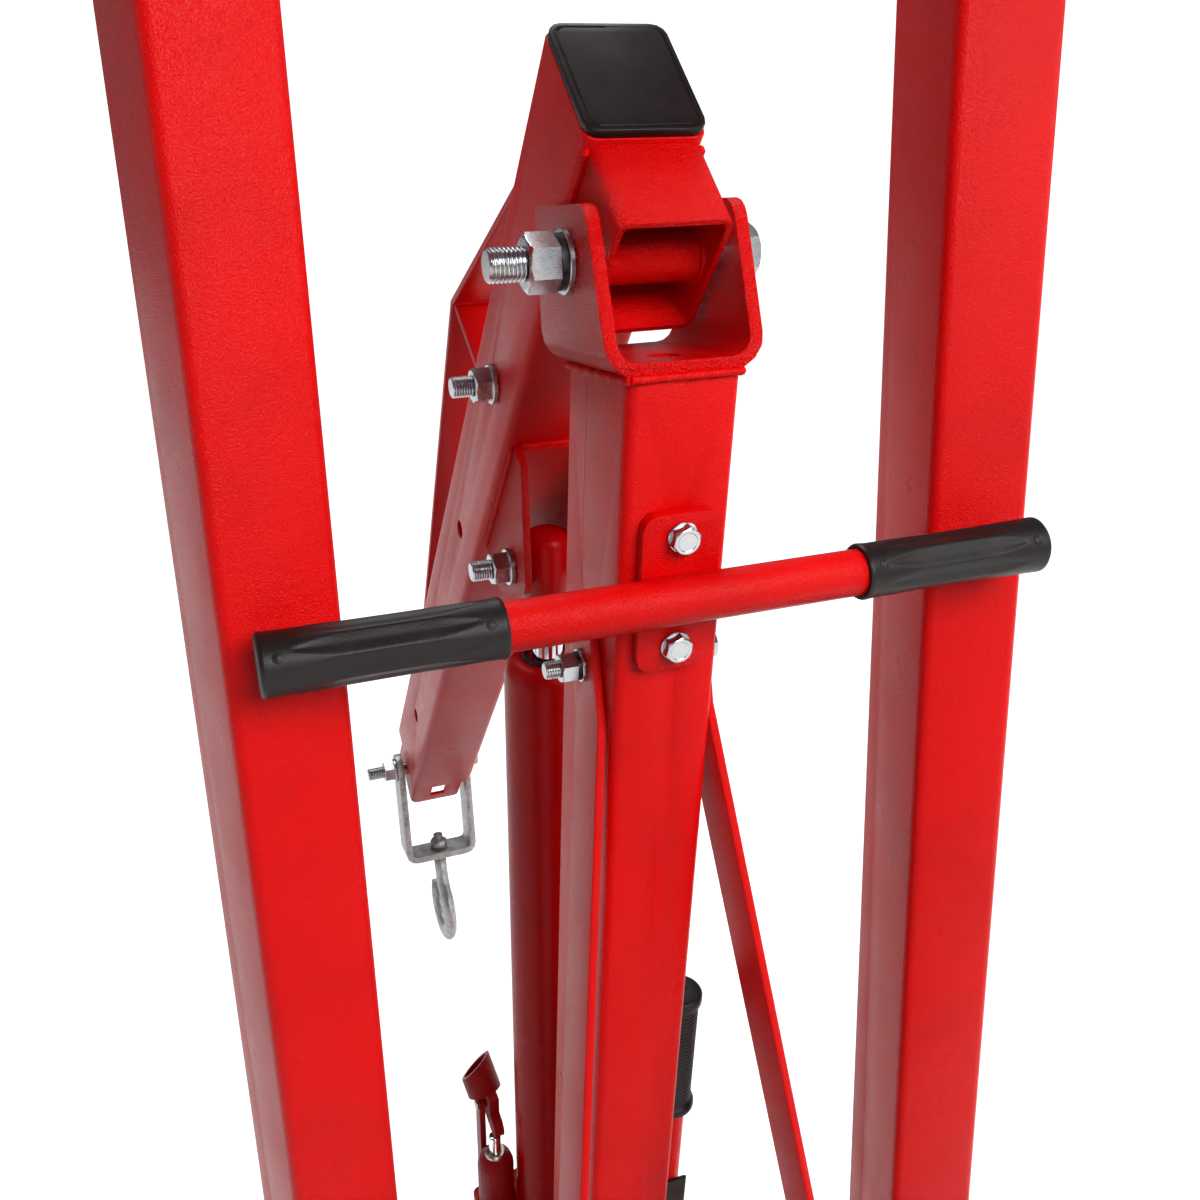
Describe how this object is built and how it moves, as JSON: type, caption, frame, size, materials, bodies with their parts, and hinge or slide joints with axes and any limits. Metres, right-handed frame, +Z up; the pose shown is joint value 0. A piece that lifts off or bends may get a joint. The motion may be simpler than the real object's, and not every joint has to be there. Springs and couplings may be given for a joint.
{
  "type": "engine hoist crane",
  "caption": "Folding engine hoist crane with a leaning mast, a hydraulic ram under a telescoping boom, fold-up legs, push handle and swivelling casters.",
  "frame": {"origin": "centre of the bounding box at floor level, with the crane standing folded on its four base casters", "axes": "+Z up; +Y ahead, the way the boom and ram lean and the legs unfold; +X to the right of a person holding the push handle"},
  "size_m": [0.8046, 0.978, 1.6958],
  "materials": {
    "red_paint": "glossy red powder coat with a light orange peel",
    "zinc_plate": "bright zinc plate",
    "black_plastic": "satin black plastic",
    "dark_red_paint": "dark red paint over castings",
    "wheel_polymer": "hard black polymer wheels"
  },
  "bodies": {
    "base": {"mast": "red_paint", "mast_top_bracket": "red_paint", "pivot_bolt": "zinc_plate", "push_handle": "red_paint", "grip_left": "black_plastic", "grip_right": "black_plastic", "handle_bolt_upper": "zinc_plate", "handle_bolt_lower": "zinc_plate", "brace_left": "red_paint", "brace_right": "red_paint", "brace_bolt": "zinc_plate", "brace_foot_bolt_left": "zinc_plate", "brace_foot_bolt_right": "zinc_plate", "rear_bar": "red_paint", "front_bar": "red_paint", "inner_plate_left": "red_paint", "outer_plate_left": "red_paint", "inner_plate_right": "red_paint", "outer_plate_right": "red_paint", "leg_pivot_bolt_left": "zinc_plate", "leg_pivot_bolt_right": "zinc_plate", "ram_base_bracket": "red_paint", "ram_base_bolt": "zinc_plate", "handle_clip": "black_plastic"},
    "boom": {"boom": "red_paint", "boom_cap": "black_plastic", "boom_stub": "red_paint", "ram_bracket": "red_paint", "ram_top_bolt": "zinc_plate", "truss_brace": "red_paint", "boom_lock_bolt": "zinc_plate"},
    "extension": {"extension_arm": "red_paint", "clevis_bolt": "zinc_plate"},
    "clevis": {"clevis": "zinc_plate"},
    "hook": {"hook": "zinc_plate"},
    "jack": {"jack_body": "red_paint", "pump_cylinder": "dark_red_paint"},
    "ram_rod": {"ram_rod": "zinc_plate"},
    "ram_head": {"ram_head": "red_paint"},
    "pump_lever": {"pump_socket": "dark_red_paint"},
    "pump_plunger": {"pump_plunger": "zinc_plate"},
    "release_valve": {"release_valve": "dark_red_paint"},
    "pump_handle": {"pump_handle": "red_paint", "pump_handle_grip": "black_plastic"},
    "leg_left": {"leg_left": "red_paint", "leg_caster_left_fork": "zinc_plate"},
    "leg_wheel_left": {"leg_caster_left_wheel": "wheel_polymer"},
    "lock_pin_left": {"lock_pin_left": "zinc_plate"},
    "leg_right": {"leg_right": "red_paint", "leg_caster_right_fork": "zinc_plate"},
    "leg_wheel_right": {"leg_caster_right_wheel": "wheel_polymer"},
    "lock_pin_right": {"lock_pin_right": "zinc_plate"},
    "rear_caster_left": {"rear_caster_left_fork": "zinc_plate"},
    "rear_caster_left_wheel": {"rear_caster_left_wheel": "wheel_polymer"},
    "rear_caster_right": {"rear_caster_right_fork": "zinc_plate"},
    "rear_caster_right_wheel": {"rear_caster_right_wheel": "wheel_polymer"},
    "front_caster_left": {"front_caster_left_fork": "zinc_plate"},
    "front_caster_left_wheel": {"front_caster_left_wheel": "wheel_polymer"},
    "front_caster_right": {"front_caster_right_fork": "zinc_plate"},
    "front_caster_right_wheel": {"front_caster_right_wheel": "wheel_polymer"}
  },
  "joints": [
    {"name": "boom_pivot", "type": "hinge", "parent": "base", "child": "boom", "pos_m": [0, -0.33296, 1.4], "axis": [1, 0, 0], "range_deg": [0, 95]},
    {"name": "ram_tilt", "type": "hinge", "parent": "base", "child": "jack", "pos_m": [0, 0.01205, 0.36428], "axis": [1, 0, 0], "range_deg": [-3.1, 0]},
    {"name": "rod_slide", "type": "slide", "parent": "jack", "child": "ram_rod", "axis": [0, -0.1508, 0.9886], "range_m": [0, 0.481]},
    {"name": "ram_head_pivot", "type": "hinge", "parent": "boom", "child": "ram_head", "pos_m": [0, -0.10951, 1.16091], "axis": [1, 0, 0], "range_deg": [-98.2, 0]},
    {"name": "extension_slide", "type": "slide", "parent": "boom", "child": "extension", "axis": [0, 0.7113, -0.7029], "range_m": [0, 0.615]},
    {"name": "clevis_swing", "type": "hinge", "parent": "extension", "child": "clevis", "pos_m": [0, 0.44093, 0.75334], "axis": [1, 0, 0], "range_deg": [-100, 60]},
    {"name": "hook_swivel", "type": "hinge", "parent": "clevis", "child": "hook", "pos_m": [0, 0.44093, 0.62334], "axis": [0, 0, 1], "continuous": true},
    {"name": "leg_fold_left", "type": "hinge", "parent": "base", "child": "leg_left", "pos_m": [-0.2483, -0.26196, 0.145], "axis": [-0.982, -0.1891, 0], "range_deg": [0, 92.2]},
    {"name": "leg_wheel_spin_left", "type": "hinge", "parent": "leg_left", "child": "leg_wheel_left", "pos_m": [-0.25729, -0.21528, 1.64293], "axis": [0.982, 0.1891, 0], "continuous": true},
    {"name": "lock_pin_slide_left", "type": "slide", "parent": "base", "child": "lock_pin_left", "axis": [0.982, 0.1891, 0], "range_m": [0, 0.0775]},
    {"name": "leg_fold_right", "type": "hinge", "parent": "base", "child": "leg_right", "pos_m": [0.2483, -0.26196, 0.145], "axis": [-0.982, 0.1891, 0], "range_deg": [0, 92.2]},
    {"name": "leg_wheel_spin_right", "type": "hinge", "parent": "leg_right", "child": "leg_wheel_right", "pos_m": [0.25729, -0.21528, 1.64293], "axis": [0.982, -0.1891, 0], "continuous": true},
    {"name": "lock_pin_slide_right", "type": "slide", "parent": "base", "child": "lock_pin_right", "axis": [-0.982, 0.1891, 0], "range_m": [0, 0.0775]},
    {"name": "rear_caster_left_swivel", "type": "hinge", "parent": "base", "child": "rear_caster_left", "pos_m": [-0.262, -0.42696, 0.115], "axis": [0, 0, 1], "continuous": true},
    {"name": "rear_caster_left_spin", "type": "hinge", "parent": "rear_caster_left", "child": "rear_caster_left_wheel", "pos_m": [-0.262, -0.44896, 0.04], "axis": [1, 0, 0], "continuous": true},
    {"name": "rear_caster_right_swivel", "type": "hinge", "parent": "base", "child": "rear_caster_right", "pos_m": [0.262, -0.42696, 0.115], "axis": [0, 0, 1], "continuous": true},
    {"name": "rear_caster_right_spin", "type": "hinge", "parent": "rear_caster_right", "child": "rear_caster_right_wheel", "pos_m": [0.262, -0.44896, 0.04], "axis": [1, 0, 0], "continuous": true},
    {"name": "front_caster_left_swivel", "type": "hinge", "parent": "base", "child": "front_caster_left", "pos_m": [-0.165, -0.09196, 0.115], "axis": [0, 0, 1], "continuous": true},
    {"name": "front_caster_left_spin", "type": "hinge", "parent": "front_caster_left", "child": "front_caster_left_wheel", "pos_m": [-0.165, -0.06996, 0.04], "axis": [1, 0, 0], "continuous": true},
    {"name": "front_caster_right_swivel", "type": "hinge", "parent": "base", "child": "front_caster_right", "pos_m": [0.165, -0.09196, 0.115], "axis": [0, 0, 1], "continuous": true},
    {"name": "front_caster_right_spin", "type": "hinge", "parent": "front_caster_right", "child": "front_caster_right_wheel", "pos_m": [0.165, -0.06996, 0.04], "axis": [1, 0, 0], "continuous": true},
    {"name": "pump_lever_pivot", "type": "hinge", "parent": "jack", "child": "pump_lever", "pos_m": [-0.0578, 0.02293, 0.55814], "axis": [1, 0, 0], "range_deg": [-20, 14]},
    {"name": "plunger_slide", "type": "slide", "parent": "jack", "child": "pump_plunger", "axis": [0, -0.1508, 0.9886], "range_m": [-0.008, 0.011]},
    {"name": "release_valve_turn", "type": "hinge", "parent": "jack", "child": "release_valve", "pos_m": [0, 0.04209, 0.43259], "axis": [0, 0.9886, 0.1508], "range_deg": [0, 180]},
    {"name": "pump_handle_pull", "type": "slide", "parent": "base", "child": "pump_handle", "axis": [1, 0, 0], "range_m": [0, 0.1]}
  ],
  "couplings": [
    {"joint": "ram_tilt", "follows": "boom_pivot", "ratio": -0.031966},
    {"joint": "rod_slide", "follows": "boom_pivot", "m_per_rad": 0.28921},
    {"joint": "ram_head_pivot", "follows": "boom_pivot", "ratio": -1.032},
    {"joint": "plunger_slide", "follows": "pump_lever_pivot", "m_per_rad": -0.03}
  ]
}
